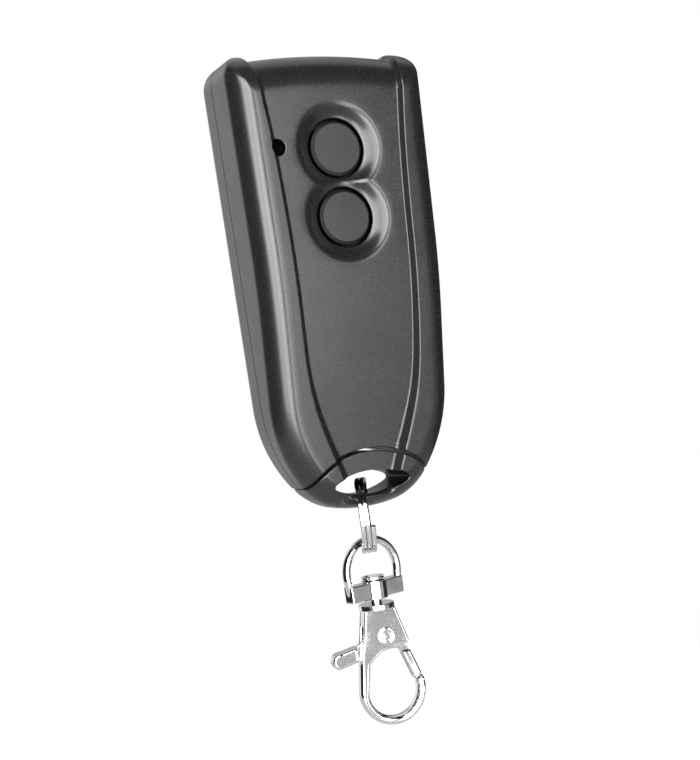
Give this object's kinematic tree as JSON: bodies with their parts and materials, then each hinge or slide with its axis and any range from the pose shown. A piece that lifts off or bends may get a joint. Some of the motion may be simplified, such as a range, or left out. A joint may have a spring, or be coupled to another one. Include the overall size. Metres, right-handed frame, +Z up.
{
  "type": "garage door remote",
  "caption": "Slim pocket remote for a garage door with round push buttons, railed front, keyring eye, split ring and trigger snap hook.",
  "frame": {"origin": "on the flat back face of the housing, at half the height of the remote's body", "axes": "+Z up along the body towards the button end, +Y out of the back face, buttons face -Y, +X to the right seen from the front"},
  "size_m": [0.0324, 0.0149, 0.1053],
  "materials": {
    "housing_plastic": "fine spark-eroded grain, dark grey",
    "button_plastic": "fine grain, dark grey",
    "switch_case": "moulded black",
    "light_pipe": "smoked clear",
    "board_laminate": "solder mask",
    "chip_resin": "moulded",
    "cell_steel": "drawn",
    "tin_plate": "plated",
    "screw_steel": "blackened",
    "nickel_wire": "nickel plated, polished",
    "nickel_casting": "nickel plated casting, polished",
    "spring_steel": "bright"
  },
  "bodies": {
    "housing": {"front_shell": "housing_plastic", "rear_shell": "housing_plastic", "keyring_cap": "housing_plastic", "housing_screw": "screw_steel", "upper_switch_body": "switch_case", "lower_switch_body": "switch_case", "led_light_pipe": "light_pipe", "status_led": "light_pipe", "circuit_board": "board_laminate", "microcontroller": "chip_resin", "radio_chip": "chip_resin", "timing_crystal": "tin_plate", "antenna_trimmer": "chip_resin", "resistors_and_capacitors": "chip_resin", "coin_cell": "cell_steel", "negative_contact": "tin_plate", "positive_contact": "tin_plate"},
    "battery_cover": {"battery_cover": "housing_plastic"},
    "upper_button": {"upper_button": "button_plastic"},
    "lower_button": {"lower_button": "button_plastic"},
    "upper_plunger": {"upper_switch_plunger": "switch_case"},
    "lower_plunger": {"lower_switch_plunger": "switch_case"},
    "split_ring": {"split_ring": "nickel_wire"},
    "swivel_bail": {"swivel_bail": "nickel_casting"},
    "snap_hook": {"hook_body": "nickel_casting", "swivel_rivet": "nickel_casting", "gate_rivet": "nickel_casting", "gate_spring": "spring_steel"},
    "trigger_gate": {"gate_lever": "nickel_casting"}
  },
  "joints": [
    {"name": "upper_button_press", "type": "slide", "parent": "housing", "child": "upper_button", "axis": [0, 1, 0], "range_m": [0, 0.0003], "stiffness_N_per_m": 150},
    {"name": "lower_button_press", "type": "slide", "parent": "housing", "child": "lower_button", "axis": [0, 1, 0], "range_m": [0, 0.0003], "stiffness_N_per_m": 150},
    {"name": "upper_plunger_press", "type": "slide", "parent": "housing", "child": "upper_plunger", "axis": [0, 1, 0], "range_m": [0, 0.0003]},
    {"name": "lower_plunger_press", "type": "slide", "parent": "housing", "child": "lower_plunger", "axis": [0, 1, 0], "range_m": [0, 0.0003]},
    {"name": "battery_cover_turn", "type": "hinge", "parent": "housing", "child": "battery_cover", "pos_m": [0, 0, 0.01325], "axis": [0, 1, 0], "range_deg": [0, 50]},
    {"name": "split_ring_swing", "type": "hinge", "parent": "housing", "child": "split_ring", "pos_m": [0, -0.00475, -0.03667], "axis": [0.9272, -0.3746, 0], "range_deg": [-45, 45]},
    {"name": "bail_swing", "type": "hinge", "parent": "split_ring", "child": "swivel_bail", "pos_m": [0, -0.00475, -0.04557], "axis": [-0.2079, 0.9781, 0], "range_deg": [-35, 35]},
    {"name": "hook_swivel", "type": "hinge", "parent": "swivel_bail", "child": "snap_hook", "pos_m": [0, -0.00475, -0.04985], "axis": [0, 0, 1], "continuous": true},
    {"name": "gate_pivot", "type": "hinge", "parent": "snap_hook", "child": "trigger_gate", "pos_m": [0.00054, -0.00485, -0.05585], "axis": [0.1736, 0.9848, 0], "range_deg": [0, 18], "stiffness_Nm_per_rad": 0.004}
  ],
  "couplings": [
    {"joint": "upper_plunger_press", "follows": "upper_button_press", "ratio": 1},
    {"joint": "lower_plunger_press", "follows": "lower_button_press", "ratio": 1}
  ]
}
